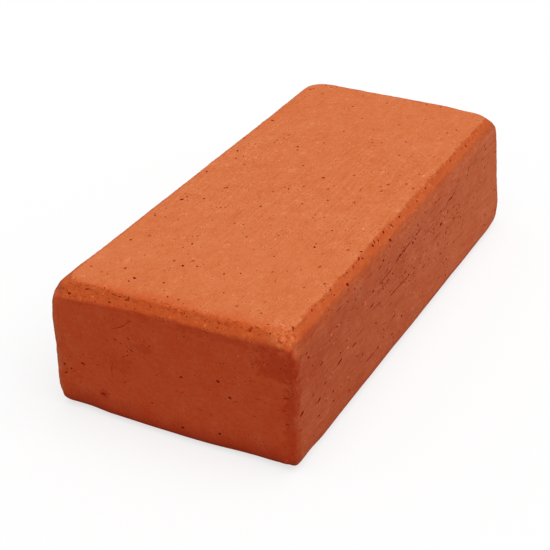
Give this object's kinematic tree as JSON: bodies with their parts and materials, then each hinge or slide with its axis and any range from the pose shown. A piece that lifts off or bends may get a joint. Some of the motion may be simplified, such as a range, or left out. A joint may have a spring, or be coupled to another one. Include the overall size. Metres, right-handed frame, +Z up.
{
  "type": "solid clay brick",
  "caption": "Solid fired clay brick with flat side faces, a broad chamfer round its upper bed and a rounded arris round its lower bed.",
  "frame": {"origin": "middle of the lower bed face", "axes": "+X along the stretcher faces (length), +Y along the header faces (width), +Z up through the beds, towards the chamfered upper bed"},
  "size_m": [0.25, 0.12, 0.065],
  "materials": {
    "fired_clay": "unglazed fired clay, matt, orange-red, paler and dusty on the upper bed, deeper red on the side faces, with fine pores, drag marks and crumbled arrises"
  },
  "bodies": {
    "root": {"brick": "fired_clay"}
  },
  "joints": []
}
